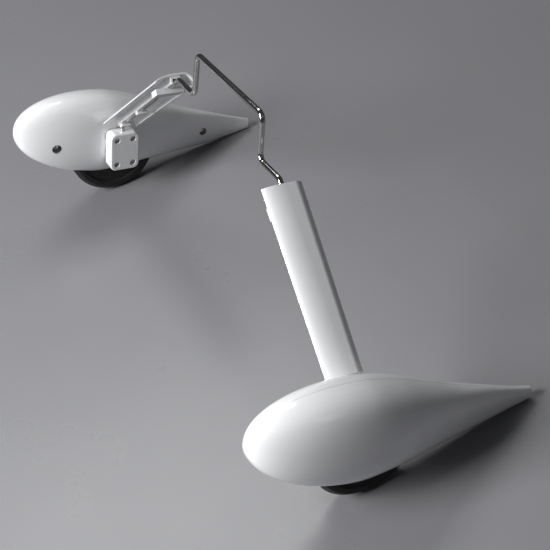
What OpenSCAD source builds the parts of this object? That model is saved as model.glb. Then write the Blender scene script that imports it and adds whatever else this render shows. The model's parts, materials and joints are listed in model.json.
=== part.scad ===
// Fixed main landing gear of a model aircraft: one bent spring wire carries two
// strut fairings and two teardrop wheel pants, each with an axle block and a wheel.
//
// The gear is drawn level, with a pant's nose-to-tail line along X. x = 0 is the
// nose, y = 0 the middle of the gear and +Z up. stand() then tips it back until it
// rests on its wheels and on the pants' tails. Each sub-part is drawn once, for the
// right-hand side, and mirrored for the left.

/* [Stance] */
// Distance from the middle of the gear to the middle of each pant
half_track = 176; // [170:1:190]
// How far the wire leans forward, in degrees, seen from the side
wire_lean = 7.25; // [0:0.25:10]

/* [Wire] */
// Diameter of the spring wire
wire_d = 3.5; // [3:0.1:3.8]
// Inside radius of each bend
bend_r = 3.2; // [3:0.1:4]
// Half the length of the centre bar, between the bends' corners
bar_half = 42; // [36:1:48]
// Height of the centre bar above the axles, along the wire
bar_h = 129; // [124:1:136]
// Height of the shoulders above the axles, along the wire
shoulder_h = 101.3; // [98:0.1:104]
// Distance of a shoulder's outer corner from the middle
shoulder_out = 66; // [62:1:70]
// Distance of the lower leg from the middle
knee_out = 154.3; // [153:0.1:155]
// Height of the knee above the axle
knee_h = 28.5; // [28:0.1:30]

/* [Wheel pant] */
// Length from nose to tail
pant_l = 184; // [180:1:190]
// Distance from the nose to the fullest section
full_x = 62; // [58:1:66]
// Wall thickness
pant_wall = 1.5; // [1.2:0.1:1.6]
// Half width of the fullest section on the inboard side
inboard_w = 17.5; // [17:0.1:18]
// Half width of the fullest section on the outboard side
outboard_w = 25; // [24:0.1:26]

/* [Wheel] */
// Diameter over the tyre
wheel_d = 64; // [60:1:65]
// Width of the tyre
tyre_w = 15; // [13:1:15]
// Diameter of the hub under the tyre
hub_d = 27; // [24:1:30]
// Distance of the axle behind the nose
axle_x = 74; // [72:1:76]
// Height of the axle above the nose
axle_z = -13.8; // [-15:0.1:-13]
// Radial running clearance of the hub on the wire
running_gap = 0.05; // [0.03:0.01:0.08]

/* [Axle block] */
// Size of the block's face along the pant
block_w = 21.3; // [20:0.1:22]
// Size of the block's face up the wire
block_h = 28.3; // [28:0.1:29]
// Height of the block's lower edge below the axle
block_drop = 5.2; // [5:0.1:6]
// Distance of the block's face from the middle
block_face = 148.5; // [148:0.1:149]
// Corner radius of the face
block_r = 4.2; // [3:0.1:5]
// Spacing of the screws along the pant
screw_dx = 12; // [11:0.1:13]
// Spacing of the screws up the wire
screw_dz = 18.7; // [18:0.1:19]

/* [Strut fairing] */
// Where the fairing starts, measured down the leg from the shoulder
fairing_top = 4.7; // [4:0.1:6]
// Where the fairing ends
fairing_end = 115; // [110:1:116]
// Distance from the wire to the front edge
fairing_front = 13.8; // [12:0.1:15]
// Distance from the wire to the rear edge, at the top
fairing_rear_top = 13; // [11:0.1:14]
// Distance from the wire to the rear edge, at the bottom
fairing_rear_end = 10.8; // [10:0.1:12]
// Thickness of the fairing's wall
fairing_wall = 1.3; // [1.2:0.1:1.6]

/* [Hidden] */
$fn = 48;
side_nodes = [
    "pant_outer_half",
    "pant_inner_half",
    "pant_screws",
    "axle_block_base",
    "axle_block_cover",
    "axle_block_screws",
    "strut_fairing",
    "fairing_bridge",
    "fairing_clips",
    "tyre",
    "wheel_hub",
    "axle_spacer",
    "wheel_collar",
    "collar_grub_screw"
];
sides = ["left", "right"];

eps = 0.01;
wheel_r = wheel_d / 2;
wire_r = wire_d / 2;
// Radius of each bend at the middle of the wire
bend_mid = bend_r + wire_r;

// The pant's outline: distance behind the nose, height of the top, depth of the
// bottom and share of the full width, from the fullest section to the tail. In
// front of the fullest section the outline is a quarter of an ellipse.
tail_half_h = 4;
tail_half_w = 2.6;
outline = [
    [full_x, 28, 31, 1],
    [84, 25.5, 27.5, 0.93],
    [106, 20.2, 23, 0.74],
    [128, 14.5, 19, 0.5],
    [150, 10.2, 14.6, 0.3],
    [168, 6.6, 9.4, 0.18],
    [pant_l, tail_half_h, tail_half_h, 0.11]
];
// How square a section is: 2 is an ellipse
squareness = 2.4;
nose_rings = 9;
tail_rings = 11;
ring_steps = 14;

// The wheel well's mouth in the pant's floor
slot_front = axle_x - 32.4;
slot_rear = axle_x + 33;
slot_half_w = 8.7;
slot_below_axle = 4;
slot_floor = -60;

// Joints between the pant's halves: a recessed screw near the nose and the tail
pant_screw_at = [[27.5, -7.5], [144.5, -2.7]];
recess_d = [6.6, 5.4];
recess_floor = [9.6, 3.2];
pant_screw_d = 2.2;
pant_head_d = 4.2;
pant_head_h = 1.4;
pant_screw_bite = 4.4;
boss_d = [9, 7.6];
outer_boss_d = [7, 5.8];
outer_hole_l = 5;

// The axle, from the block outwards
block_back = half_track - inboard_w - 0.2;
split_y = knee_out;
hub_w = tyre_w + 2;
axle_end = half_track + hub_w / 2 + 7;
spacer_d = 7;
collar_d = 8;
collar_w = 5;
axial_gap = 0.3;
hole_gap = 0.05;
screw_gap = 0.15;
bore_gap = 0.3;
cut = 1;

// The pad on the inboard skin that carries the axle block
pad_l = 5.3;
pad_inset = 0.6;
pad_hole_l = 4.2;

block_screw_d = 2;
block_head_d = 3.6;
block_head_h = 1.2;
block_head_sink = 1.5;
block_screw_l = 13;
// Share of a screw's head taken by each arm of its cross
cross_l = 0.64;
cross_w = 0.14;
cross_depth = 0.55;

// The leg's slope, and the fairing's section across it
leg_angle = atan2(shoulder_h - knee_h, knee_out - shoulder_out);
fairing_crown = 5.6;
front_edge_h = 1.6;
rear_edge_h = -3.4;
fairing_steps = 12;
spine_setback = 0.4;
mouth_gap = 0.3;
mouth_l = 6;
spine_w = 6.6;
spine_depth = -0.6;
bridge_at = 14;
bridge_l = 8;
bridge_depth = 4.6;
bridge_front = 11.4;
bridge_rear = 8;
mid_clip_at = 73;
mid_clip_l = 3.6;
end_clip_at = 107;
end_clip_l = 4.5;
clip_w = 7.4;
clip_depth = 3.2;
under_spine = 0.02;

// Wheel
tyre_shoulder = 5.5;
hub_rim = 1.6;
hub_rim_inset = 0.5;
hub_web = 3;
hub_boss = 2.6;
grub_d = 2.5;
grub_l = 2.6;
socket_d = 1.3;
socket_l = 1.2;

// Stance: the line through the tails' lower edge and the bottom of the wheels
tail_dx = pant_l - axle_x;
tail_dz = -tail_half_h - axle_z;
stance = atan2(tail_dz, tail_dx) + asin(wheel_r / norm([tail_dx, tail_dz]));

function lerp(a, b, t) = a + (b - a) * t;

// Slopes for a smooth curve through column c of the outline: flat at the fullest
// section, the chord at the tail and the mean of both chords in between
function chord(c, i) =
    (outline[i + 1][c] - outline[i][c]) / (outline[i + 1][0] - outline[i][0]);
function slope(c, i) =
    i == 0 ? 0
    : i == len(outline) - 1 ? chord(c, i - 1)
    : (chord(c, i - 1) + chord(c, i)) / 2;
function segment(x, i = 0) =
    i == len(outline) - 2 || x < outline[i + 1][0] ? i : segment(x, i + 1);
function hermite(c, i, t) =
    let (h = outline[i + 1][0] - outline[i][0])
    (2 * pow(t, 3) - 3 * pow(t, 2) + 1) * outline[i][c]
    + (pow(t, 3) - 2 * pow(t, 2) + t) * h * slope(c, i)
    + (3 * pow(t, 2) - 2 * pow(t, 3)) * outline[i + 1][c]
    + (pow(t, 3) - pow(t, 2)) * h * slope(c, i + 1);
function nose_share(x) = sqrt(max(0, 1 - pow(1 - x / full_x, 2)));
function spread(x, c) =
    x < full_x ? outline[0][c] * nose_share(x)
    : let (i = segment(x), h = outline[i + 1][0] - outline[i][0])
      hermite(c, i, (x - outline[i][0]) / h);

// Stations along the pant, close together at the nose
nose_x = 0.25;
function station(i, x0, x1) =
    i < nose_rings
    ? lerp(x0, full_x, 1 - cos(90 * i / nose_rings))
    : lerp(full_x, x1, (i - nose_rings) / tail_rings);

// A section's point at angle a: 0 is the top edge and 180 the bottom edge
function signed_pow(v, p) = sign(v) * pow(abs(v), p);
function section_point(x, a, w, inset) =
    let (
        top = spread(x, 1) - inset,
        low = spread(x, 2) - inset,
        wide = max(w * spread(x, 3), tail_half_w) - inset,
        p = 2 / squareness
    )
    [
        x,
        max(wide, 0.2) * pow(abs(sin(a)), p),
        (top - low) / 2 + (top + low) / 2 * signed_pow(cos(a), p)
    ];
function skin(w, inset, x0, x1) = [
    for (i = [0 : nose_rings + tail_rings], j = [0 : ring_steps])
        section_point(station(i, x0, x1), 180 * j / ring_steps, w, inset)
];

// Half of a pant on the side of +Y, with the joint face at y = 0. A thickness of
// 0 gives the solid half.
rings = nose_rings + tail_rings;
row = ring_steps + 1;
function quads(first, flip) = [
    for (i = [0 : rings - 1], j = [0 : ring_steps - 1])
        let (
            a = first + i * row + j,
            q = [a, a + 1, a + row + 1, a + row]
        )
        flip ? [q[3], q[2], q[1], q[0]] : q
];
function end_face(first, flip) = [
    [for (j = [0 : ring_steps]) first + (flip ? ring_steps - j : j)]
];
module half_pant(w) {
    outer = skin(w, 0, nose_x, pant_l);
    last = rings * row;
    joint_face = [
        concat(
            [for (i = [0 : rings]) i * row],
            [for (i = [rings : -1 : 0]) i * row + ring_steps]
        )
    ];
    polyhedron(
        outer,
        concat(quads(0, false), end_face(0, true), end_face(last, false), joint_face),
        convexity = 4
    );
}
module half_pant_shell(w) {
    outer = skin(w, 0, nose_x, pant_l);
    inner = skin(w, pant_wall, pant_wall + nose_x, pant_l - pant_wall);
    n = len(outer);
    last = rings * row;
    top_rim = [
        for (i = [0 : rings - 1])
            [i * row, (i + 1) * row, n + (i + 1) * row, n + i * row]
    ];
    low_rim = [
        for (i = [0 : rings - 1])
            let (a = i * row + ring_steps, b = a + row)
            [b, a, n + a, n + b]
    ];
    nose_rim = [[0, n, n + ring_steps, ring_steps]];
    tail_rim = [[last + ring_steps, n + last + ring_steps, n + last, last]];
    polyhedron(
        concat(outer, inner),
        concat(
            quads(0, false), end_face(0, true), end_face(last, false),
            quads(n, true), end_face(n, false), end_face(n + last, true),
            top_rim, low_rim, nose_rim, tail_rim
        ),
        convexity = 8
    );
}

// Places: the standing gear, one side of it, the wire's plane and the leg
function to_stand(x, z) = x * cos(stance) + z * sin(stance);
function low_edge(x) = -spread(x, 2);
nose_front = min([for (x = [0 : 0.25 : 30]) to_stand(x, low_edge(x))]);
tail_back = to_stand(pant_l, tail_half_h);
mid_x = (nose_front + tail_back) / 2;
ground_z = -axle_x * sin(stance) + axle_z * cos(stance) - wheel_r;

module stand()
    translate([-mid_x, 0, -ground_z])
        rotate([0, stance, 0])
            children();
module left()
    mirror([0, 1, 0])
        children();
module wire_plane()
    translate([axle_x, 0, axle_z])
        rotate([0, -wire_lean, 0])
            children();
module at_pant()
    translate([0, half_track, 0])
        children();
// Z runs down the leg from the shoulder, Y outwards across it and X to the rear
module along_leg()
    wire_plane()
        translate([0, shoulder_out, shoulder_h])
            rotate([-90 - leg_angle, 0, 0])
                mirror([0, 1, 0])
                    children();
// Z runs outwards along the axle
module along_axle(y)
    wire_plane()
        translate([0, y, 0])
            rotate([-90, 0, 0])
                children();

// The wire's corners on the right, in its own plane: outwards and up
corners = [
    [0, bar_h],
    [bar_half, bar_h],
    [bar_half + 0.9, shoulder_h],
    [shoulder_out, shoulder_h],
    [knee_out, knee_h],
    [knee_out, 0],
    [axle_end, 0]
];
function unit(v) = v / norm(v);
function turn(i) =
    let (
        a = unit(corners[i] - corners[i - 1]),
        b = unit(corners[i + 1] - corners[i])
    )
    atan2(a[0] * b[1] - a[1] * b[0], a[0] * b[0] + a[1] * b[1]);
function setback(i) =
    i == 0 || i == len(corners) - 1 ? 0 : bend_mid * tan(abs(turn(i)) / 2);
function heading(i) =
    let (d = corners[i + 1] - corners[i])
    atan2(d[1], d[0]);

// Straight run i, from inside one bend to inside the next. The bends are a hair
// thicker than the runs, so that the two never share a surface.
lap = 0.05;
bend_swell = 0.04;
module run(i, d) {
    start = setback(i) - (setback(i) > 0 ? lap : 0);
    end = setback(i + 1) - (setback(i + 1) > 0 ? lap : 0);
    translate([0, corners[i][0], corners[i][1]])
        rotate([heading(i), 0, 0])
            translate([0, start, 0])
                rotate([-90, 0, 0])
                    cylinder(d = d, h = norm(corners[i + 1] - corners[i]) - start - end);
}
// The bend at corner i: part of a ring, which starts where run i - 1 ends
module bend(i, d) {
    a = turn(i);
    s = sign(a);
    translate([0, corners[i][0], corners[i][1]])
        rotate([heading(i - 1), 0, 0])
            translate([0, -setback(i), s * bend_mid])
                rotate([0, 90, 0])
                    rotate([0, 0, s > 0 ? 0 : 180 + a])
                        rotate_extrude(angle = abs(a))
                            translate([bend_mid, 0])
                                circle(d = d + bend_swell, $fn = 32);
}
// Runs and bends from the first corner to the last
module half_wire(d, first, last)
    wire_plane() {
        for (i = [first : last - 1]) run(i, d);
        for (i = [max(first, 1) : last - 1]) bend(i, d);
    }

module gear_wire()
    color("silver") {
        half_wire(wire_d, 1, 6);
        left() half_wire(wire_d, 1, 6);
        wire_plane()
            translate([0, 0, bar_h])
                rotate([90, 0, 0])
                    cylinder(d = wire_d, h = 2 * (bar_half - setback(1) + lap), center = true);
    }

// Wheel pant

module wheel_slot()
    translate([0, 0, slot_floor])
        linear_extrude(axle_z - slot_below_axle - slot_floor) {
            r = slot_half_w;
            for (x = [slot_front + r, slot_rear - r])
                translate([x, 0])
                    circle(r = r);
            translate([slot_front + r, -r])
                square([slot_rear - slot_front - 2 * r, 2 * r]);
        }

module at_pant_screw(i)
    translate([pant_screw_at[i][0], 0, pant_screw_at[i][1]])
        rotate([-90, 0, 0])
            children();

module pant_outer_half()
    color("white")
        at_pant()
            difference() {
                union() {
                    half_pant_shell(outboard_w);
                    intersection() {
                        half_pant(outboard_w);
                        for (i = [0, 1])
                            at_pant_screw(i)
                                cylinder(d = outer_boss_d[i], h = outboard_w);
                    }
                }
                wheel_slot();
                for (i = [0, 1])
                    at_pant_screw(i)
                        translate([0, 0, -eps])
                            cylinder(d = pant_screw_d + 2 * hole_gap, h = outer_hole_l);
            }

// The pad that carries the axle block stands proud of the inboard skin
module block_outline(inset)
    offset_square(block_w - 2 * inset, block_h - 2 * inset, block_r - inset);
module offset_square(w, h, r) {
    for (x = [-1, 1], y = [-1, 1])
        translate([x * (w / 2 - r), y * (h / 2 - r)])
            circle(r = r);
    square([w, h - 2 * r], center = true);
    square([w - 2 * r, h], center = true);
}
// Z runs outwards from the block's face and Y down the wire
module at_block(y)
    wire_plane()
        translate([0, y, block_h / 2 - block_drop])
            rotate([-90, 0, 0])
                children();
module at_block_screws(y)
    at_block(y)
        for (x = [-1, 1], z = [-1, 1])
            translate([x * screw_dx / 2, z * screw_dz / 2, 0])
                children();

module pant_inner_half()
    color("white")
        difference() {
            union() {
                at_pant()
                    mirror([0, 1, 0]) {
                        half_pant_shell(inboard_w);
                        intersection() {
                            half_pant(inboard_w);
                            for (i = [0, 1])
                                at_pant_screw(i)
                                    cylinder(d = boss_d[i], h = inboard_w);
                        }
                    }
                at_block(block_back)
                    linear_extrude(pad_l)
                        block_outline(pad_inset);
            }
            at_pant()
                mirror([0, 1, 0]) {
                    wheel_slot();
                    for (i = [0, 1])
                        at_pant_screw(i) {
                            translate([0, 0, -eps])
                                cylinder(d = pant_screw_d + 2 * screw_gap, h = inboard_w);
                            translate([0, 0, recess_floor[i]])
                                cylinder(d = recess_d[i], h = inboard_w);
                        }
                }
            at_block_screws(block_back - cut)
                cylinder(d = block_screw_d + 2 * hole_gap, h = pad_hole_l + cut);
            along_axle(block_back - cut)
                cylinder(d = spacer_d + 2 * bore_gap, h = pad_l + 2 * cut);
        }

// A pan-head screw: the head's top is at z = 0 and the shank runs along +Z
module screw(d, head_d, head_h, length)
    difference() {
        union() {
            cylinder(d = head_d, h = head_h);
            cylinder(d = d, h = length);
        }
        for (a = [0, 90])
            rotate([0, 0, a])
                translate([-head_d * cross_l / 2, -head_d * cross_w / 2, -eps])
                    cube([head_d * cross_l, head_d * cross_w, head_h * cross_depth]);
    }

module pant_screw(length)
    screw(pant_screw_d, pant_head_d, pant_head_h, length);
module pant_screws()
    color("dimgray")
        at_pant()
            mirror([0, 1, 0])
                for (i = [0, 1])
                    at_pant_screw(i)
                        translate([0, 0, recess_floor[i] + pant_head_h])
                            mirror([0, 0, 1])
                                pant_screw(recess_floor[i] + pant_head_h + pant_screw_bite);

// Axle block

module wire_channel()
    half_wire(wire_d + 2 * hole_gap, 3, 6);

module axle_block_base()
    color("white")
        difference() {
            at_block(split_y)
                linear_extrude(block_back - split_y)
                    block_outline(0);
            wire_channel();
            at_block_screws(split_y - cut)
                cylinder(d = block_screw_d + 2 * screw_gap, h = block_back - split_y + 2 * cut);
        }

module axle_block_cover()
    color("white")
        difference() {
            at_block(block_face)
                linear_extrude(split_y - block_face)
                    block_outline(0);
            wire_channel();
            at_block_screws(block_face - cut)
                cylinder(d = block_screw_d + 2 * screw_gap, h = split_y - block_face + 2 * cut);
            at_block_screws(block_face - cut)
                cylinder(d = block_head_d + 2 * bore_gap, h = cut + block_head_sink + block_head_h);
        }

module axle_block_screws()
    color("dimgray")
        at_block_screws(block_face + block_head_sink)
            screw(block_screw_d, block_head_d, block_head_h, block_screw_l - block_head_h);

// Strut fairing

// The skin's section: a quarter of an ellipse from the front edge up to the crown, a
// flat crown, and a quarter of an ellipse down to the rear edge. From the top to the
// bottom of the fairing the rear edge moves forward and the flat crown gets shorter.
rear_curve_w = fairing_rear_end - spine_w / 2 - 0.2;
function front_point(a, inset) = [
    -(fairing_front - inset) * cos(a),
    front_edge_h + (fairing_crown - inset - front_edge_h) * sin(a)
];
function rear_point(a, t, inset) = [
    lerp(fairing_rear_top, fairing_rear_end, t) - rear_curve_w
        + (rear_curve_w - inset) * cos(a),
    rear_edge_h + (fairing_crown - inset - rear_edge_h) * sin(a)
];
// The skin's edge at one end, from the front over the crown to the rear
angle_step = 90 / fairing_steps;
function skin_edge(t, inset) = [
    for (a = [0 : angle_step : 90]) front_point(a, inset),
    for (a = [90 : -angle_step : 0]) rear_point(a, t, inset)
];
module fairing_skin() {
    m = 2 * fairing_steps + 2;
    points = [
        for (t = [0, 1], inset = [0, fairing_wall], p = skin_edge(t, inset))
            [p[0], p[1], lerp(fairing_top, fairing_end, t)]
    ];
    // Point j of the outside at the top; + m is the inside and + 2 * m the bottom
    polyhedron(
        points,
        [
            for (j = [0 : m - 2])
                each [
                    [j, j + 1, 2 * m + j + 1, 2 * m + j],
                    [m + j, 3 * m + j, 3 * m + j + 1, m + j + 1],
                    [j, m + j, m + j + 1, j + 1],
                    [2 * m + j, 2 * m + j + 1, 3 * m + j + 1, 3 * m + j]
                ],
            [0, 2 * m, 3 * m, m],
            [m - 1, 2 * m - 1, 4 * m - 1, 3 * m - 1]
        ],
        convexity = 6
    );
}

// Along the inside runs a spine with a round-bottomed groove for the wire. At the top
// the groove opens into a mouth with room for the shoulder's bend.
module spine()
    translate([-spine_w / 2, spine_depth, fairing_top + spine_setback])
        cube([
            spine_w,
            fairing_crown - fairing_wall / 2 - spine_depth,
            fairing_end - fairing_top - 2 * spine_setback
        ]);
module groove(w, r, from, to)
    translate([0, 0, from]) {
        cylinder(r = r, h = to - from);
        translate([-w / 2, spine_depth - cut, 0])
            cube([w, cut - spine_depth, to - from]);
    }
module fairing_mouth()
    translate([-wire_r - mouth_gap, spine_depth - cut, fairing_top - cut])
        cube([
            2 * (wire_r + mouth_gap),
            cut - spine_depth + wire_r + 2 * mouth_gap,
            mouth_l + cut
        ]);

module strut_fairing()
    color("white")
        along_leg()
            difference() {
                union() {
                    fairing_skin();
                    spine();
                }
                groove(wire_d, wire_r + hole_gap, fairing_top - cut, fairing_end + cut);
                fairing_mouth();
            }

// A bar across the spine, with a hole for the wire: front and rear are its reach
module wire_bar(front, rear, depth, length)
    difference() {
        translate([-front, -depth, 0])
            cube([front + rear, depth + spine_depth - under_spine, length]);
        translate([0, 0, -cut])
            cylinder(d = wire_d + 2 * hole_gap, h = length + 2 * cut);
    }
module fairing_bridge()
    color("white")
        along_leg()
            translate([0, 0, bridge_at])
                wire_bar(bridge_front, bridge_rear, bridge_depth, bridge_l);
module fairing_clips()
    color("white")
        along_leg() {
            translate([0, 0, mid_clip_at])
                wire_bar(clip_w / 2, clip_w / 2, clip_depth, mid_clip_l);
            translate([0, 0, end_clip_at])
                wire_bar(clip_w / 2, clip_w / 2, clip_depth, end_clip_l);
        }

// Wheel

module ring_profile(r0, r1, w, r)
    translate([(r0 + r1) / 2, 0])
        offset_square(r1 - r0, w, r);

module tyre()
    color("black")
        along_axle(half_track)
            rotate_extrude() {
                difference() {
                    ring_profile(0, wheel_r, tyre_w, tyre_shoulder);
                    translate([-wheel_r, -tyre_w])
                        square([wheel_r + hub_d / 2, 2 * tyre_w]);
                }
            }

module wheel_hub()
    color("white")
        along_axle(half_track)
            rotate_extrude() {
                bore_r = wire_r + running_gap;
                // Rim under the tyre, web and boss around the axle
                translate([hub_d / 2 - hub_rim, -tyre_w / 2 + hub_rim_inset])
                    square([hub_rim, tyre_w - 2 * hub_rim_inset]);
                translate([bore_r, -hub_web / 2])
                    square([hub_d / 2 - hub_rim / 2 - bore_r, hub_web]);
                translate([bore_r, -hub_w / 2])
                    square([hub_boss, hub_w]);
            }

module axle_spacer()
    color("white")
        along_axle(block_back)
            tube(spacer_d, half_track - hub_w / 2 - axial_gap - block_back);
module tube(d, length)
    difference() {
        cylinder(d = d, h = length);
        translate([0, 0, -cut])
            cylinder(d = wire_d + 2 * hole_gap, h = length + 2 * cut);
    }

collar_at = half_track + hub_w / 2 + axial_gap;
module wheel_collar()
    color("goldenrod")
        along_axle(collar_at)
            difference() {
                tube(collar_d, collar_w);
                translate([0, 0, collar_w / 2])
                    rotate([90, 0, 0])
                        cylinder(d = grub_d + 2 * hole_gap, h = collar_d);
            }
module collar_grub_screw()
    color("dimgray")
        along_axle(collar_at + collar_w / 2)
            rotate([90, 0, 0])
                translate([0, 0, wire_r + hole_gap])
                    difference() {
                        cylinder(d = grub_d, h = grub_l);
                        translate([0, 0, grub_l - socket_l])
                            cylinder(d = socket_d, h = socket_l + cut, $fn = 6);
                    }

for (side = sides)
    stand()
        mirror([0, side == "left" ? 1 : 0, 0]) {
            pant_outer_half();
            pant_inner_half();
            pant_screws();
            axle_block_base();
            axle_block_cover();
            axle_block_screws();
            strut_fairing();
            fairing_bridge();
            fairing_clips();
            tyre();
            wheel_hub();
            axle_spacer();
            wheel_collar();
            collar_grub_screw();
        }
stand() gear_wire();
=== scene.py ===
"""A model aircraft's landing gear: a bent plated wire, strut fairings, wheel pants and wheels.

Lengths are in millimetres until solid() places a piece in the frame, which is in metres.
Each piece is drawn for the right-hand side and mirrored for the left.
"""

import json
import math

import bmesh
import bpy
from mathutils import Matrix, Vector


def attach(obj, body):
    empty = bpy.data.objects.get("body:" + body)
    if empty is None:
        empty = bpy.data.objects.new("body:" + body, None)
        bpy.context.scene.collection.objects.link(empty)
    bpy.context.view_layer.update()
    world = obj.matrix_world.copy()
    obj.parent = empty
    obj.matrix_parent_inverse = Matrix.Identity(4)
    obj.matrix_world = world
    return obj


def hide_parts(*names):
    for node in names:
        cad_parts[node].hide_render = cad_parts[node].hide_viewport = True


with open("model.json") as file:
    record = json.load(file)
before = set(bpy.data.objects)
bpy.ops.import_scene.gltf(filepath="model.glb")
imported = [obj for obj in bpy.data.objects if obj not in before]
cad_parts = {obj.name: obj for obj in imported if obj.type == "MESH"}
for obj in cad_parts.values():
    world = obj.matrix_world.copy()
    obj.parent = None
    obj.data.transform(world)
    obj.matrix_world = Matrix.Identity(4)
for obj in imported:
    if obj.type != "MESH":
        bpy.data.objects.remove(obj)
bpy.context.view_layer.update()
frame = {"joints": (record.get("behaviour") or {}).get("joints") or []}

MM = 0.001
SIDES = ("left", "right")
ROOT = "gear_frame"

# Wire
WIRE_LEAN = 7.25
WIRE_R = 1.75
BEND_MID = 4.95
BAR_HALF, BAR_H = 42, 129
RISER_FOOT = 42.9
SHOULDER_OUT, SHOULDER_H = 66, 101.3
KNEE_OUT, KNEE_H = 154.3, 28.5
AXLE_END = 191.5

# Wheel pant
PANT_L = 184
AXLE_X, AXLE_Z = 74, -13.8
PANT_WALL = 1.5
OUTBOARD_W, INBOARD_W = 25, 17.5
TAIL_HALF_H, TAIL_HALF_W = 4, 2.6
SQUARENESS = 2.4
OUTLINE = [
    (62, 28, 31, 1),
    (84, 25.5, 27.5, 0.93),
    (106, 20.2, 23, 0.74),
    (128, 14.5, 19, 0.5),
    (150, 10.2, 14.6, 0.3),
    (168, 6.6, 9.4, 0.18),
    (184, 4, 4, 0.11),
]
FULL_X = OUTLINE[0][0]
SLOT_FRONT, SLOT_REAR, SLOT_HALF_W = 41.6, 107, 8.7
# Places of the pant screws, and the radius and floor of each recess
PANT_SCREWS = ((27.5, -7.5, 3.3, 9.6), (144.5, -2.7, 2.7, 3.2))

# Axle block
BLOCK_W, BLOCK_H, BLOCK_R = 21.3, 28.3, 4.2
BLOCK_DROP = 5.2
BLOCK_FACE, SPLIT_Y, BLOCK_BACK = 148.5, 154.3, 158.3
SCREW_DX, SCREW_DZ = 12, 18.7

# Strut fairing
FAIRING_TOP, FAIRING_END = 4.7, 115
FAIRING_FRONT, FAIRING_REAR_TOP, FAIRING_REAR_END = 13.8, 13, 10.8
FAIRING_CROWN, FRONT_EDGE_H, REAR_EDGE_H = 5.6, 1.6, -3.4
FAIRING_WALL = 1.3
SPINE_W, SPINE_DEPTH = 6.6, -0.6
REAR_CURVE_W = FAIRING_REAR_END - SPINE_W / 2 - 0.2

# Wheel
WHEEL_R, TYRE_W, HUB_R = 32, 15, 13.5
HUB_W = 17

# ---------------------------------------------------------------- places

axle = {j["name"].split("_")[0]: Vector(j["pos_m"]) / MM for j in frame["joints"]}
HALF_TRACK = axle["right"].y
tail_dx, tail_dz = PANT_L - AXLE_X, -TAIL_HALF_H - AXLE_Z
STANCE = math.atan2(tail_dz, tail_dx) + math.asin(WHEEL_R / math.hypot(tail_dx, tail_dz))


def move(x=0.0, y=0.0, z=0.0):
    return Matrix.Translation((x, y, z))


def turn(degrees, axis):
    return Matrix.Rotation(math.radians(degrees), 4, axis)


AXLE = move(axle["right"].x, 0, axle["right"].z)
IN_PANT = AXLE @ Matrix.Rotation(STANCE, 4, "Y") @ move(-AXLE_X, HALF_TRACK, -AXLE_Z)
IN_WIRE_PLANE = AXLE @ Matrix.Rotation(STANCE, 4, "Y") @ turn(-WIRE_LEAN, "Y")
LEG_ANGLE = math.degrees(math.atan2(SHOULDER_H - KNEE_H, KNEE_OUT - SHOULDER_OUT))
FLIP_Y = Matrix.Diagonal((1, -1, 1, 1))
# Z runs down the leg, Y outwards across it and X to the rear
ALONG_LEG = (
    IN_WIRE_PLANE @ move(0, SHOULDER_OUT, SHOULDER_H) @ turn(-90 - LEG_ANGLE, "X") @ FLIP_Y
)
BLOCK_MIDDLE = BLOCK_H / 2 - BLOCK_DROP


def along_axle(y):
    """Z runs outwards along the axle."""
    return IN_WIRE_PLANE @ move(0, y, 0) @ turn(-90, "X")


def at_block(y):
    """Z runs outwards from the block's face and Y down the wire."""
    return IN_WIRE_PLANE @ move(0, y, BLOCK_MIDDLE) @ turn(-90, "X")


# ---------------------------------------------------------------- meshes


def new_object(name, mesh):
    piece = bpy.data.objects.new(name, mesh)
    bpy.context.scene.collection.objects.link(piece)
    return piece


def shape(verts, faces):
    """A closed solid as an object, in millimetres, with its normals outwards."""
    bm = bmesh.new()
    points = [bm.verts.new(v) for v in verts]
    for face in faces:
        corners = list(dict.fromkeys(points[i] for i in face))
        if len(corners) > 2:
            bm.faces.new(corners)
    bmesh.ops.remove_doubles(bm, verts=bm.verts, dist=0.0005)
    bmesh.ops.dissolve_degenerate(bm, edges=bm.edges, dist=0.0002)
    bmesh.ops.recalc_face_normals(bm, faces=bm.faces)
    mesh = bpy.data.meshes.new("shape")
    bm.to_mesh(mesh)
    bm.free()
    return new_object("shape", mesh)


def combine(base, tool, operation="DIFFERENCE"):
    """Cuts tool out of base, or joins it on. The tool is used up."""
    modifier = base.modifiers.new("cut", "BOOLEAN")
    modifier.operation = operation
    modifier.solver = "EXACT"
    modifier.object = tool
    bpy.context.view_layer.update()
    evaluated = base.evaluated_get(bpy.context.evaluated_depsgraph_get())
    mesh = bpy.data.meshes.new_from_object(evaluated)
    base.modifiers.clear()
    base.data = mesh
    bpy.data.objects.remove(tool)
    return base


def placed(tool, matrix):
    """Moves a shape's own vertices."""
    tool.data.transform(matrix)
    return tool


def finish_mesh(piece, sharp=32):
    """Merges stray points, shades smooth and marks the edges that turn sharply."""
    bm = bmesh.new()
    bm.from_mesh(piece.data)
    bmesh.ops.remove_doubles(bm, verts=bm.verts, dist=0.0005)
    bmesh.ops.dissolve_degenerate(bm, edges=bm.edges, dist=0.0002)
    bmesh.ops.recalc_face_normals(bm, faces=bm.faces)
    for face in bm.faces:
        face.smooth = True
    for edge in bm.edges:
        edge.smooth = edge.calc_face_angle(0.0) < math.radians(sharp)
    bm.to_mesh(piece.data)
    bm.free()


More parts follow.
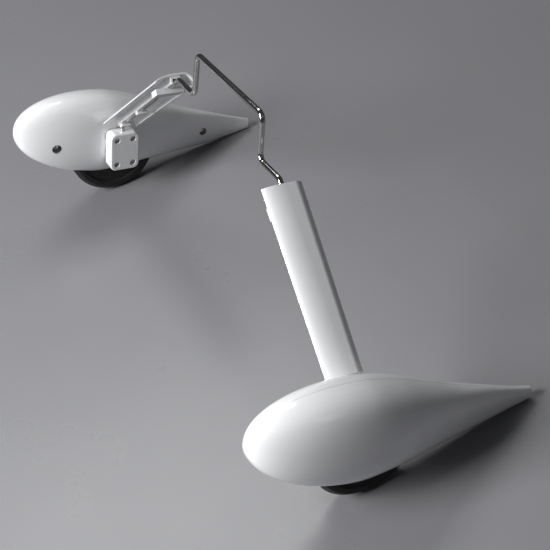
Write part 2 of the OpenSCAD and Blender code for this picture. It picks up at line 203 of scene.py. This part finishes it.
def solid(shapes, name, side, matrix, material, slot, body, *nodes, sharp=32):
    """Places shapes in the frame as one piece that rides on body and replaces nodes."""
    mesh = bpy.data.meshes.new(name)
    bm = bmesh.new()
    for one in shapes:
        finish_mesh(one, sharp)
        bm.from_mesh(one.data)
        bpy.data.objects.remove(one)
    bm.to_mesh(mesh)
    bm.free()
    mirror = FLIP_Y if side == "left" else Matrix.Identity(4)
    full = Matrix.Scale(MM, 4) @ mirror @ matrix
    mesh.transform(full)
    if full.determinant() < 0:
        mesh.flip_normals()
    piece = new_object(f"{name}_{side}" if side else name, mesh)
    mesh.materials.clear()
    mesh.materials.append(material)
    for polygon in mesh.polygons:
        polygon.material_index = 0
    even = piece.modifiers.new("even_shading", "WEIGHTED_NORMAL")
    even.keep_sharp = True
    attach(piece, body)
    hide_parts(*nodes)
    return piece


def rings_to_faces(count, size, cap=True):
    """Faces of a tube of rings, each of size points, closed at both ends."""
    faces = [
        (i * size + j, i * size + (j + 1) % size, (i + 1) * size + (j + 1) % size, (i + 1) * size + j)
        for i in range(count - 1)
        for j in range(size)
    ]
    if cap:
        faces.append(tuple(range(size)))
        faces.append(tuple((count - 1) * size + j for j in range(size)))
    return faces


def rounded(points, steps=5):
    """A closed outline of (x, y, radius) points with its corners rounded."""
    out = []
    n = len(points)
    for i, (x, y, r) in enumerate(points):
        here = Vector((x, y))
        if r <= 0:
            out.append((x, y))
            continue
        before = (Vector(points[i - 1][:2]) - here).normalized()
        after = (Vector(points[(i + 1) % n][:2]) - here).normalized()
        half = before.angle(after) / 2
        reach = r / math.tan(half)
        centre = here + (before + after).normalized() * (r / math.sin(half))
        start = here + before * reach - centre
        sweep = start.angle_signed(here + after * reach - centre)
        for k in range(steps + 1):
            arm = start.copy()
            arm.rotate(Matrix.Rotation(-sweep * k / steps, 2))
            out.append(tuple(centre + arm))
    return out


def lathe(outline, steps=96):
    """A ring from a closed outline of (radius, height) points, turned about Z."""
    size = len(outline)
    verts, faces = [], []
    for i in range(steps):
        a = 2 * math.pi * i / steps
        verts += [(r * math.cos(a), r * math.sin(a), z) for r, z in outline]
    for i in range(steps):
        k = (i + 1) % steps
        faces += [
            (i * size + j, i * size + (j + 1) % size, k * size + (j + 1) % size, k * size + j)
            for j in range(size)
        ]
    return shape(verts, faces)


def rod(outline, steps=48):
    """A solid from (radius, height) points, from its lower end to its upper, turned about Z."""
    rings = [
        [(r * math.cos(2 * math.pi * k / steps), r * math.sin(2 * math.pi * k / steps), z)
         for k in range(steps)]
        for r, z in outline
    ]
    return shape([p for ring in rings for p in ring], rings_to_faces(len(rings), steps))


def rounded_block(w, h, r, z0, z1, edge0, edge1, steps=4):
    """A plate from z0 to z1 with corners of radius r and edges rounded by edge0 and edge1."""
    levels = []
    for edge, z, direction in ((edge0, z0, 1), (edge1, z1, -1)):
        level = []
        for k in range(steps + 1):
            a = math.pi / 2 * k / steps
            level.append((edge * (1 - math.sin(a)), z + direction * edge * (1 - math.cos(a))))
        levels.append(level)
    stack = levels[0] + levels[1][::-1]
    rings = []
    for inset, z in stack:
        x, y, round_r = w / 2 - inset, h / 2 - inset, max(r - inset, 0.05)
        ring = rounded([(x, -y, round_r), (x, y, round_r), (-x, y, round_r), (-x, -y, round_r)], 8)
        rings.append([(*p, z) for p in ring])
    return shape([p for ring in rings for p in ring], rings_to_faces(len(rings), len(rings[0])))


def screw(d, head_d, head_h, length):
    """A domed head with a cross recess. Its top is at z = 0 and the shank runs along +Z."""
    head_r, r = head_d / 2, d / 2
    dome = [
        (head_r * math.sin(math.radians(a)), head_h * 0.55 * (1 - math.cos(math.radians(a))))
        for a in range(8, 91, 10)
    ]
    body = rod(dome + [(head_r, head_h), (r, head_h), (r, length - r), (0.2 * r, length)])
    arm, width, depth = head_d * 0.29, head_d * 0.075, head_h * 0.62
    for angle in (0, 90):
        taper = 0.55
        corners = [(-arm, -width), (arm, -width), (arm, width), (-arm, width)]
        verts = [(x, y, -0.3) for x, y in corners]
        verts += [(x * taper, y * taper, depth) for x, y in corners]
        cross = placed(shape(verts, rings_to_faces(2, 4)), turn(angle + 20, "Z"))
        combine(body, cross)
    return body


# ---------------------------------------------------------------- materials


class Nodes:
    """Short calls for building one material's node tree."""

    def __init__(self, name):
        self.material = bpy.data.materials.new(name)
        self.material.use_nodes = True
        self.tree = self.material.node_tree
        self.shader = self.tree.nodes["Principled BSDF"]
        self.place = self.tree.nodes.new("ShaderNodeTexCoord").outputs["Object"]

    def link(self, source, target):
        self.tree.links.new(source, target)

    def stretched(self, x, y, z):
        node = self.tree.nodes.new("ShaderNodeMapping")
        node.inputs["Scale"].default_value = (x, y, z)
        self.link(self.place, node.inputs["Vector"])
        return node.outputs["Vector"]

    def noise(self, scale, detail=4.0, roughness=0.55, vector=None):
        node = self.tree.nodes.new("ShaderNodeTexNoise")
        node.inputs["Scale"].default_value = scale
        node.inputs["Detail"].default_value = detail
        node.inputs["Roughness"].default_value = roughness
        self.link(vector or self.place, node.inputs["Vector"])
        return node.outputs["Fac"]

    def spread(self, value, low, high, out_low, out_high):
        node = self.tree.nodes.new("ShaderNodeMapRange")
        for key, number in (
            ("From Min", low), ("From Max", high), ("To Min", out_low), ("To Max", out_high),
        ):
            node.inputs[key].default_value = number
        self.link(value, node.inputs["Value"])
        return node.outputs["Result"]

    def add(self, a, b, operation="ADD"):
        node = self.tree.nodes.new("ShaderNodeMath")
        node.operation = operation
        self.link(a, node.inputs[0])
        self.link(b, node.inputs[1])
        return node.outputs[0]

    def colours(self, value, low, high):
        node = self.tree.nodes.new("ShaderNodeMix")
        node.data_type = "RGBA"
        self.link(value, node.inputs["Factor"])
        node.inputs["A"].default_value = (*low, 1)
        node.inputs["B"].default_value = (*high, 1)
        return node.outputs["Result"]

    def bump(self, height, strength, distance):
        node = self.tree.nodes.new("ShaderNodeBump")
        node.inputs["Strength"].default_value = strength
        node.inputs["Distance"].default_value = distance
        self.link(height, node.inputs["Height"])
        self.link(node.outputs["Normal"], self.shader.inputs["Normal"])

    def set(self, **values):
        for key, value in values.items():
            self.shader.inputs[key.replace("_", " ")].default_value = value

    def colour(self, output):
        self.link(output, self.shader.inputs["Base Color"])

    def rough(self, output):
        self.link(output, self.shader.inputs["Roughness"])


def moulded_plastic(name, low, high, rough_low, rough_high, coat):
    """Moulded plastic: faint clouding, orange peel, and fine scratches in its gloss."""
    n = Nodes(name)
    cloud = n.noise(28, 3)
    n.colour(n.colours(n.spread(cloud, 0.3, 0.7, 0, 1), low, high))
    scratches = n.noise(900, 2, 0.6, n.stretched(0.06, 1, 0.6))
    smear = n.spread(n.noise(60, 5, 0.6), 0.35, 0.75, rough_low, rough_high)
    n.rough(n.add(smear, n.spread(scratches, 0.66, 0.8, 0, 0.12)))
    peel = n.add(n.noise(420, 2, 0.4), n.spread(n.noise(2600, 2), 0, 1, 0, 0.15))
    n.bump(peel, 0.08, 0.0004)
    n.set(IOR=1.5, Coat_Weight=coat, Coat_Roughness=0.04)
    n.set(Subsurface_Weight=0.06, Subsurface_Radius=(0.6, 0.6, 0.6), Subsurface_Scale=0.001)
    return n.material


def plated_wire():
    """Bright nickel plating with faint drawing lines along the wire and small stains."""
    n = Nodes("plated_wire")
    stain = n.noise(180, 4, 0.6)
    n.colour(n.colours(n.spread(stain, 0.45, 0.75, 0, 1), (0.56, 0.55, 0.53), (0.46, 0.43, 0.38)))
    lines = n.noise(1500, 3, 0.5, n.stretched(1, 0.03, 1))
    n.rough(n.add(n.spread(stain, 0.3, 0.8, 0.05, 0.13), n.spread(lines, 0.5, 0.8, 0, 0.07)))
    n.bump(n.add(lines, n.noise(700, 3)), 0.05, 0.0002)
    n.set(Metallic=1.0, Anisotropic=0.2)
    return n.material


def tyre_rubber():
    """Matt black rubber with a fine grain and pale dust in its hollows."""
    n = Nodes("tyre_rubber")
    dust = n.noise(240, 6, 0.65)
    n.colour(n.colours(n.spread(dust, 0.5, 0.8, 0, 1), (0.010, 0.010, 0.011), (0.035, 0.034, 0.033)))
    n.rough(n.spread(dust, 0.3, 0.7, 0.62, 0.85))
    n.bump(n.add(n.noise(3200, 3, 0.6), n.noise(500, 3)), 0.35, 0.0003)
    n.set(IOR=1.45, Sheen_Weight=0.05, Sheen_Roughness=0.5)
    return n.material


def bare_steel():
    """Plain screw steel: dulled here and there, with turning marks."""
    n = Nodes("bare_steel")
    wear = n.noise(1400, 5, 0.65)
    n.colour(n.colours(n.spread(wear, 0.5, 0.72, 0, 1), (0.66, 0.65, 0.64), (0.54, 0.53, 0.52)))
    n.rough(n.spread(wear, 0.3, 0.75, 0.42, 0.22))
    n.bump(n.noise(5200, 3, 0.6), 0.2, 0.0001)
    n.set(Metallic=1.0)
    return n.material


def turned_brass():
    """Turned brass with fine tool marks around the collar and a light tarnish."""
    n = Nodes("turned_brass")
    tarnish = n.noise(500, 5, 0.6)
    n.colour(n.colours(n.spread(tarnish, 0.4, 0.75, 0, 1), (0.74, 0.55, 0.26), (0.50, 0.36, 0.16)))
    marks = n.noise(2600, 2, 0.5, n.stretched(0.15, 1, 0.15))
    n.rough(n.add(n.spread(tarnish, 0.3, 0.8, 0.2, 0.36), n.spread(marks, 0.4, 0.8, 0, 0.1)))
    n.bump(marks, 0.15, 0.0001)
    n.set(Metallic=1.0)
    return n.material


WHITE = moulded_plastic("white_plastic", (0.82, 0.825, 0.84), (0.86, 0.865, 0.87), 0.10, 0.19, 0.35)
SATIN = moulded_plastic("satin_plastic", (0.72, 0.73, 0.73), (0.78, 0.78, 0.77), 0.30, 0.42, 0.0)
WIRE = plated_wire()
RUBBER = tyre_rubber()
STEEL = bare_steel()
BRASS = turned_brass()

# ---------------------------------------------------------------- wire


def filleted_path(corners, r, steps=12):
    """(point, heading) pairs along a path of straight runs and round bends."""
    out = []
    for i, corner in enumerate(corners):
        here = Vector(corner)
        if i in (0, len(corners) - 1):
            other = Vector(corners[1] if i == 0 else corners[-2])
            way = (other - here if i == 0 else here - other).normalized()
            out.append((here, way))
            continue
        come = (here - Vector(corners[i - 1])).normalized()
        go = (Vector(corners[i + 1]) - here).normalized()
        bend = come.angle_signed(go)
        setback = r * math.tan(abs(bend) / 2)
        side = Vector((come.y, -come.x)) * (1 if bend > 0 else -1)
        centre = here - come * setback + side * r
        for k in range(steps + 1):
            a = -bend * k / steps
            arm = -side * r
            arm.rotate(Matrix.Rotation(a, 2))
            way = come.copy()
            way.rotate(Matrix.Rotation(a, 2))
            out.append((centre + arm, way))
    return out


def gear_wire():
    right = [
        (BAR_HALF, BAR_H),
        (RISER_FOOT, SHOULDER_H),
        (SHOULDER_OUT, SHOULDER_H),
        (KNEE_OUT, KNEE_H),
        (KNEE_OUT, 0),
        (AXLE_END, 0),
    ]
    left = [(-y, z) for y, z in reversed(right)]
    path = filleted_path(left + right, BEND_MID)
    chamfer = 0.35
    stations = [(path[0][0] + path[0][1] * d, path[0][1], r)
                for d, r in ((0, WIRE_R - chamfer), (chamfer, WIRE_R))]
    stations += [(point, way, WIRE_R) for point, way in path[1:-1]]
    stations += [(path[-1][0] - path[-1][1] * d, path[-1][1], r)
                 for d, r in ((chamfer, WIRE_R), (0, WIRE_R - chamfer))]
    steps = 40
    verts = []
    for point, way, r in stations:
        across = Vector((-way.y, way.x))
        for k in range(steps):
            a = 2 * math.pi * k / steps
            spot = point + across * (r * math.sin(a))
            verts.append((r * math.cos(a), spot.x, spot.y))
    body = shape(verts, rings_to_faces(len(stations), steps))
    solid([body], "bent_wire", "", IN_WIRE_PLANE, WIRE, "plated_wire", ROOT, "gear_wire")


# ---------------------------------------------------------------- wheel pants


def chord(column, i):
    a, b = OUTLINE[i], OUTLINE[i + 1]
    return (b[column] - a[column]) / (b[0] - a[0])


def slope(column, i):
    if i == 0:
        return 0
    if i == len(OUTLINE) - 1:
        return chord(column, i - 1)
    return (chord(column, i - 1) + chord(column, i)) / 2


def spread(x, column):
    """The pant's top (1), depth (2) or share of its width (3), x behind the nose."""
    if x < FULL_X:
        return OUTLINE[0][column] * math.sqrt(max(0, 1 - (1 - x / FULL_X) ** 2))
    i = max(k for k in range(len(OUTLINE) - 1) if x >= OUTLINE[k][0])
    (x0, x1), (v0, v1) = ((OUTLINE[i][c], OUTLINE[i + 1][c]) for c in (0, column))
    h = x1 - x0
    t = (x - x0) / h
    return (
        (2 * t**3 - 3 * t**2 + 1) * v0
        + (t**3 - 2 * t**2 + t) * h * slope(column, i)
        + (3 * t**2 - 2 * t**3) * v1
        + (t**3 - t**2) * h * slope(column, i + 1)
    )


def section(x, width, inset, steps):
    """Half of the pant's section from the top edge to the bottom, with the joint's edges eased."""
    top = spread(x, 1) - inset
    low = spread(x, 2) - inset
    wide = width * spread(x, 3)
    if x > FULL_X:
        wide = max(wide, TAIL_HALF_W)
    wide = max(wide - inset, 0.01)
    power = 2 / SQUARENESS
    points = []
    for k in range(steps + 1):
        a = math.pi * k / steps
        c = math.cos(a)
        height = math.copysign(abs(c) ** power, c)
        points.append([wide * math.sin(a) ** power if 0 < k < steps else 0.0,
                       (top - low) / 2 + (top + low) / 2 * height])
    ease = 0 if inset else 0.16 * min(1, wide / 6)
    return [
        (x, 0.015, points[0][1] - ease),
        (x, max(ease, 0.02), points[0][1] - 0.02 * ease),
        *[(x, y, z) for y, z in points[1:-1]],
        (x, max(ease, 0.02), points[-1][1] + 0.02 * ease),
        (x, 0.015, points[-1][1] + ease),
    ]


def half_shell(width, inset):
    """A closed half pant, its joint face near y = 0, shrunk by inset."""
    nose_rings, tail_rings, steps = 44, 90, 60
    end = PANT_L - inset
    stations = [inset + (FULL_X - inset) * (1 - math.cos(math.pi / 2 * i / nose_rings))
                for i in range(nose_rings)]
    stations += [FULL_X + (end - FULL_X) * i / tail_rings for i in range(tail_rings + 1)]
    stations[0] += 0.02
    rings = [section(x, width, inset, steps) for x in stations]
    if not inset:
        # The tail's end is rounded over
        for back, shrink in ((0.35, 0.1), (0, 0.5)):
            ring = section(end, width, 0, steps)
            middle_z = sum(p[2] for p in ring) / len(ring)
            rings.append([
                (end - back + 0.35, max(y - shrink, 0.015), z - math.copysign(shrink, z - middle_z))
                for _, y, z in ring
            ])
    return shape([p for ring in rings for p in ring], rings_to_faces(len(rings), len(rings[0])))


def wheel_slot():
    """The wheel well's mouth: a prism with round ends, below the axle."""
    r, steps = SLOT_HALF_W, 24
    outline = []
    for centre, start in ((SLOT_REAR - r, -90), (SLOT_FRONT + r, 90)):
        outline += [
            (centre + r * math.cos(math.radians(start + 180 * k / steps)),
             r * math.sin(math.radians(start + 180 * k / steps)))
            for k in range(steps + 1)
        ]
    verts = [(x, y, z) for z in (-60, AXLE_Z - 4) for x, y in outline]
    return shape(verts, rings_to_faces(2, len(outline)))


def hole(x, z, r, y0, y1):
    """A round cutter along Y in the pant's frame."""
    cutter = rod([(r, y0), (r, y1)])
    return placed(cutter, move(x, 0, z) @ turn(-90, "X"))


def surface_point(x, z, width):
    """The pant's skin at (x, z) and its outward normal, on the side of +Y."""

    def depth(px, pz):
        top, low, wide = spread(px, 1), spread(px, 2), width * spread(px, 3)
        share = abs(pz - (top - low) / 2) / ((top + low) / 2)
        return wide * (1 - share**SQUARENESS) ** (1 / SQUARENESS)

    step = 0.1
    y = depth(x, z)
    normal = Vector((y - depth(x + step, z), step, y - depth(x, z + step)))
    return Vector((x, y, z)), normal.normalized()


def recess(x, z, r, floor):
    """A screw's recess in the inboard skin, with a softly rounded mouth."""
    bore = hole(x, z, r, floor, INBOARD_W + 4)
    spot, normal = surface_point(x, z, INBOARD_W)
    ease = 0.55
    flare = [(r - 0.15, -1.1)]
    flare += [(r + ease * (1 - math.cos(math.radians(a))), -ease + ease * math.sin(math.radians(a)))
              for a in range(0, 76, 15)]
    flare += [(r + 3.2 * ease, 1.6)]
    mouth = placed(rod(flare), Matrix.Translation(spot) @ normal.to_track_quat("Z", "Y").to_matrix().to_4x4())
    return bore, mouth


def pant_half(width, bosses):
    """A half pant's shell with its screw bosses and the wheel well's mouth."""
    body = half_shell(width, 0)
    combine(body, half_shell(width, PANT_WALL))
    for x, z, r in bosses:
        boss = combine(hole(x, z, r, 0.1, width), half_shell(width, 0.7), "INTERSECT")
        combine(body, boss, "UNION")
    combine(body, wheel_slot())
    return body


def wheel_pant(side):
    outer = pant_half(OUTBOARD_W, [(x, z, r) for x, z, r, _ in PANT_SCREWS])
    for x, z, _, _ in PANT_SCREWS:
        combine(outer, hole(x, z, 1.15, -1, 5))
    solid([outer], "pant_outer", side, IN_PANT, WHITE, "white_plastic", ROOT,
          f"{side}_pant_outer_half", sharp=28)

    inner = pant_half(INBOARD_W, [(x, z, r + 1.1) for x, z, r, _ in PANT_SCREWS])
    to_pant = (IN_PANT @ FLIP_Y).inverted()
    pad = rounded_block(BLOCK_W - 1.2, BLOCK_H - 1.2, BLOCK_R - 0.6, 0, 5.3, 0.3, 0.2)
    combine(inner, placed(pad, to_pant @ at_block(BLOCK_BACK)), "UNION")
    for screw_at in PANT_SCREWS:
        for cutter in recess(*screw_at):
            combine(inner, cutter)
        combine(inner, hole(screw_at[0], screw_at[1], 1.3, -1, INBOARD_W))
    bore = rod([(3.8, 0), (3.8, 11)])
    combine(inner, placed(bore, to_pant @ along_axle(BLOCK_BACK - 1)))
    solid([inner], "pant_inner", side, IN_PANT @ FLIP_Y, WHITE, "white_plastic", ROOT,
          f"{side}_pant_inner_half", sharp=28)

    screws = [
        placed(screw(2.2, 4.2, 1.4, floor + 5.8),
               move(x, floor + 1.4, z) @ turn(90, "X"))
        for x, z, _, floor in PANT_SCREWS
    ]
    solid(screws, "pant_screw_pair", side, IN_PANT @ FLIP_Y, STEEL, "steel_screws", ROOT,
          f"{side}_pant_screws")


# ---------------------------------------------------------------- axle block

SCREW_PLACES = [(x * SCREW_DX / 2, y * SCREW_DZ / 2) for x in (-1, 1) for y in (-1, 1)]


def wire_hole(matrix, steps=32):
    """The wire's leg, knee and axle as a cutter, in the frame that matrix sets."""
    r = WIRE_R + 0.05
    path = filleted_path([(SHOULDER_OUT, SHOULDER_H), (KNEE_OUT, KNEE_H), (KNEE_OUT, 0), (AXLE_END, 0)],
                         BEND_MID)
    verts = []
    for point, way in path:
        across = Vector((-way.y, way.x))
        for k in range(steps):
            a = 2 * math.pi * k / steps
            spot = point + across * (r * math.sin(a))
            verts.append((r * math.cos(a), spot.x, spot.y))
    return placed(shape(verts, rings_to_faces(len(path), steps)), matrix.inverted() @ IN_WIRE_PLANE)


def axle_block(side):
    place = at_block(BLOCK_FACE)
    depth = SPLIT_Y - BLOCK_FACE
    cover = rounded_block(BLOCK_W, BLOCK_H, BLOCK_R, 0, depth, 1.0, 0.22, steps=6)
    for x, y in SCREW_PLACES:
        bore = rod([(2.7, -1), (2.35, 0), (2.12, 0.14), (2.0, 0.36), (2.0, 2.7), (1.15, 2.7), (1.15, 9)])
        combine(cover, placed(bore, move(x, y, 0)))
    combine(cover, wire_hole(place))
    solid([cover], "block_cover", side, place, WHITE, "white_plastic", ROOT,
          f"{side}_axle_block_cover")

    place = at_block(SPLIT_Y)
    base = rounded_block(BLOCK_W, BLOCK_H, BLOCK_R, 0, BLOCK_BACK - SPLIT_Y, 0.22, 0.3, steps=4)
    for x, y in SCREW_PLACES:
        combine(base, placed(rod([(1.15, -1), (1.15, 9)]), move(x, y, 0)))
    combine(base, wire_hole(place))
    solid([base], "block_base", side, place, WHITE, "white_plastic", ROOT,
          f"{side}_axle_block_base")

    place = at_block(BLOCK_FACE + 1.5)
    screws = [placed(screw(2, 3.6, 1.2, 11.8), move(x, y, 0) @ turn(37 * i, "Z"))
              for i, (x, y) in enumerate(SCREW_PLACES)]
    solid(screws, "block_screw_set", side, place, STEEL, "steel_screws", ROOT,
          f"{side}_axle_block_screws")


# ---------------------------------------------------------------- strut fairing


def skin_edge(t, inset, steps=15):
    """The skin's edge from the front over the crown to the rear, at share t of its length."""
    rear = FAIRING_REAR_TOP + (FAIRING_REAR_END - FAIRING_REAR_TOP) * t
    front_w = FAIRING_FRONT - inset
    out = []
    for k in range(steps + 1):
        a = math.pi / 2 * k / steps
        out.append((-front_w * math.cos(a),
                    FRONT_EDGE_H + (FAIRING_CROWN - inset - FRONT_EDGE_H) * math.sin(a)))
    for k in range(steps, -1, -1):
        a = math.pi / 2 * k / steps
        out.append((rear - REAR_CURVE_W + (REAR_CURVE_W - inset) * math.cos(a),
                    REAR_EDGE_H + (FAIRING_CROWN - inset - REAR_EDGE_H) * math.sin(a)))
    return out


def skin_section(t, inset):
    """The skin's closed outline at share t of its length, shrunk by inset, with round rims."""
    rim = 0.3
    outside = skin_edge(t, inset)
    inside = skin_edge(t, FAIRING_WALL - inset)
    front, rear = outside[0][1], outside[-1][1]
    arc = ((0, 1), (0.08, 0.6), (0.3, 0.3), (0.6, 0.08), (1, 0))
    ring = [(outside[0][0] + rim * u, front + rim * v) for u, v in reversed(arc)]
    ring += outside[1:-1]
    ring += [(outside[-1][0] - rim * u, rear + rim * v) for u, v in arc]
    ring += [(inside[-1][0] + rim * u, rear + rim * v) for u, v in reversed(arc)]
    ring += inside[-2:0:-1]
    ring += [(inside[0][0] - rim * u, front + rim * v) for u, v in arc]
    return ring


def spine_section():
    """The spine's closed outline, with the groove the wire lies in. Its root is in the skin."""
    half = SPINE_W / 2
    root = FAIRING_CROWN - FAIRING_WALL + 0.35
    groove_r = WIRE_R + 0.05
    points = [(half, root, 0), (half, SPINE_DEPTH, 0.3), (groove_r, SPINE_DEPTH, 0.2)]
    points += [(groove_r * math.cos(math.radians(a)), groove_r * math.sin(math.radians(a)), 0)
               for a in range(0, 181, 12)]
    points += [(-groove_r, SPINE_DEPTH, 0.2), (-half, SPINE_DEPTH, 0.3), (-half, root, 0)]
    return rounded(points, 4)


def strut_fairing(side):
    ease = 0.22
    length = FAIRING_END - FAIRING_TOP
    rings = [
        [(*p, FAIRING_TOP + z) for p in skin_section(z / length, inset)]
        for z, inset in ((0, ease), (ease * 0.3, ease * 0.3), (ease, 0),
                         (length - ease, 0), (length - ease * 0.3, ease * 0.3), (length, ease))
    ]
    skin = shape([p for ring in rings for p in ring], rings_to_faces(len(rings), len(rings[0])))
    outline = spine_section()
    ends = (FAIRING_TOP + 0.4, FAIRING_END - 0.4)
    spine = shape([(*p, z) for z in ends for p in outline], rings_to_faces(2, len(outline)))
    mouth = rounded_block(4.1, 9, 0.8, FAIRING_TOP - 1, FAIRING_TOP + 6, 0.1, 0.6)
    combine(spine, placed(mouth, move(0, 2.35 - 4.5, 0)))
    solid([skin, spine], "strut_cover", side, ALONG_LEG, WHITE, "white_plastic", ROOT,
          f"{side}_strut_fairing")

    bridge = rounded_block(FAIRING_FRONT + 5.6, 8, 0.6, 0, 3.98, 0.5, 0.3)
    upright = move(-(FAIRING_FRONT - 2.4) + (FAIRING_FRONT + 5.6) / 2, -0.62, 14 + 4) @ turn(90, "X")
    placed(bridge, upright)
    combine(bridge, placed(rod([(WIRE_R + 0.05, -1), (WIRE_R + 0.05, 9)]), move(0, 0, 14)))
    solid([bridge], "wire_bridge", side, ALONG_LEG, WHITE, "white_plastic", ROOT,
          f"{side}_fairing_bridge")

    clips = []
    for start, length in ((73, 3.6), (107, 4.5)):
        clip = rounded_block(7.4, length, 0.5, 0, 2.58, 0.6, 0.2)
        placed(clip, move(0, -0.62, start + length / 2) @ turn(90, "X"))
        combine(clip, placed(rod([(WIRE_R + 0.05, -1), (WIRE_R + 0.05, 9)]), move(0, 0, start - 2)))
        clips.append(clip)
    solid(clips, "wire_clips", side, ALONG_LEG, WHITE, "white_plastic", ROOT,
          f"{side}_fairing_clips")


# ---------------------------------------------------------------- wheel


def wheel(side):
    """Tyre and hub, which turn, and the spacer, collar and grub screw, which don't."""
    body = f"{side}_wheel"
    middle = along_axle(HALF_TRACK)
    half = TYRE_W / 2
    groove, step = 0.45, 1.1
    tread = []
    for y in (-3.2, 0.0, 3.2):
        tread += [(WHEEL_R, y - groove, 0.15), (WHEEL_R - 0.7, y - groove, 0.2),
                  (WHEEL_R - 0.7, y + groove, 0.2), (WHEEL_R, y + groove, 0.15)]
    tread[0:0] = [(HUB_R + 0.02, -half + 0.6, 0.2), (HUB_R + 2.0, -half, 0.6),
                  (HUB_R + 3.6, -half, 0.5), (HUB_R + 4.4, -half + step, 0.5),
                  (WHEEL_R - 7.5, -half + step, 0.8), (WHEEL_R - 6.2, -half, 0.8),
                  (WHEEL_R - 2.9, -half, 1.6), (WHEEL_R, -half + 2.6, 1.6)]
    tread += [(r, -y, c) for r, y, c in reversed(tread[0:8])]
    tyre = lathe(rounded(tread, 5), 160)
    solid([tyre], "tyre_rubber", side, middle, RUBBER, "tyre_rubber", body, f"{side}_tyre")

    bore = WIRE_R + 0.05
    hub = lathe(rounded([
        (bore, -HUB_W / 2, 0.2), (bore + 2.6, -HUB_W / 2, 0.4), (bore + 2.6, -1.5, 0.8),
        (HUB_R - 1.6, -1.5, 0.8), (HUB_R - 1.6, -half + 0.5, 0.2), (HUB_R, -half + 0.5, 0.2),
        (HUB_R, half - 0.5, 0.2), (HUB_R - 1.6, half - 0.5, 0.2), (HUB_R - 1.6, 1.5, 0.8),
        (bore + 2.6, 1.5, 0.8), (bore + 2.6, HUB_W / 2, 0.4), (bore, HUB_W / 2, 0.2),
    ], 4), 96)
    for k in range(6):
        window = rod([(1.9, -4), (1.9, 4)], 32)
        combine(hub, placed(window, turn(60 * k, "Z") @ move(8.2, 0, 0)))
    solid([hub], "hub", side, middle, SATIN, "hub_plastic", body, f"{side}_wheel_hub")

    gap = 0.3
    spacer_l = HALF_TRACK - HUB_W / 2 - gap - BLOCK_BACK
    spacer = lathe(rounded([(WIRE_R + 0.05, 0, 0.1), (3.5, 0, 0.3), (3.5, spacer_l, 0.3),
                            (WIRE_R + 0.05, spacer_l, 0.1)], 3), 64)
    solid([spacer], "spacer_tube", side, along_axle(BLOCK_BACK), SATIN, "hub_plastic", ROOT,
          f"{side}_axle_spacer")

    collar_w, collar_r = 5, 4
    place = along_axle(HALF_TRACK + HUB_W / 2 + gap)
    collar = lathe(rounded([(WIRE_R + 0.05, 0, 0.15), (collar_r, 0, 0.35),
                            (collar_r, collar_w, 0.35), (WIRE_R + 0.05, collar_w, 0.15)], 4), 72)
    upright = move(0, 0, collar_w / 2) @ turn(90, "X")
    combine(collar, placed(rod([(1.3, 0), (1.3, 4.2), (1.6, 4.6)]), upright))
    solid([collar], "collar_ring", side, place, BRASS, "collar_brass", ROOT,
          f"{side}_wheel_collar")

    grub = rod([(0.8, WIRE_R + 0.06), (1.22, WIRE_R + 0.5), (1.22, 4.2), (1.05, 4.39)], 32)
    socket = rod([(0.62, 3.1), (0.62, 5)], 6)
    combine(grub, socket)
    solid([placed(grub, upright)], "grub_screw", side, place, STEEL, "steel_screws", ROOT,
          f"{side}_collar_grub_screw")


# ---------------------------------------------------------------- studio


def floor():
    """A pale, slightly glossy table top."""
    bpy.ops.mesh.primitive_plane_add(size=12, location=(0, 0, -0.0002))
    top = bpy.context.object
    top.name = "table_top"
    n = Nodes("table_top")
    n.colour(n.colours(n.spread(n.noise(2.5, 3), 0.3, 0.7, 0, 1), (0.205, 0.205, 0.217), (0.225, 0.225, 0.238)))
    n.rough(n.spread(n.noise(9, 4), 0.3, 0.7, 0.26, 0.32))
    n.set(IOR=1.45)
    top.data.materials.append(n.material)


def area_light(name, place, aim, size, power, colour=(1, 1, 1)):
    light = bpy.data.lights.new(name, "AREA")
    light.shape = "RECTANGLE"
    light.size, light.size_y = size
    light.energy = power
    light.color = colour
    lamp = new_object(name, light)
    lamp.location = place
    lamp.rotation_mode = "QUATERNION"
    lamp.rotation_quaternion = (Vector(aim) - Vector(place)).to_track_quat("-Z", "Y")
    return lamp


def studio():
    floor()
    area_light("key", (-1.35, -0.02, 0.95), (0, 0, 0.05), (0.6, 0.8), 40)
    area_light("top", (0.0, 1.2, 1.7), (0, 0, 0), (1.2, 0.7), 15)
    area_light("fill", (0.9, -1.6, 1.6), (0, 0, 0.05), (0.5, 0.5), 0.6)
    world = bpy.data.worlds.new("studio")
    world.use_nodes = True
    world.node_tree.nodes["Background"].inputs["Color"].default_value = (0.55, 0.56, 0.6, 1)
    world.node_tree.nodes["Background"].inputs["Strength"].default_value = 0.1
    bpy.context.scene.world = world
    bpy.context.scene.view_settings.view_transform = "Standard"


def camera():
    """The camera stands ahead of the gear on its left, above it, with a slight roll."""
    azimuth, elevation, roll = (math.radians(a) for a in (-21.24, 39.78, -10.94))
    back = Vector((
        math.sin(azimuth) * math.cos(elevation),
        -math.cos(azimuth) * math.cos(elevation),
        math.sin(elevation),
    ))
    level = (-back).cross(Vector((0, 0, 1))).normalized()
    upright = level.cross(-back)
    right = level * math.cos(roll) + upright * math.sin(roll)
    up = upright * math.cos(roll) - level * math.sin(roll)
    data = bpy.data.cameras.new("camera")
    data.lens = 85.43
    data.sensor_width = 36
    cam = new_object("camera", data)
    cam.matrix_world = Matrix((
        (right.x, up.x, back.x, -0.2190),
        (right.y, up.y, back.y, -0.60475),
        (right.z, up.z, back.z, 0.54836),
        (0, 0, 0, 1),
    ))
    bpy.context.scene.camera = cam


gear_wire()
for side in SIDES:
    wheel_pant(side)
    axle_block(side)
    strut_fairing(side)
    wheel(side)
studio()
camera()
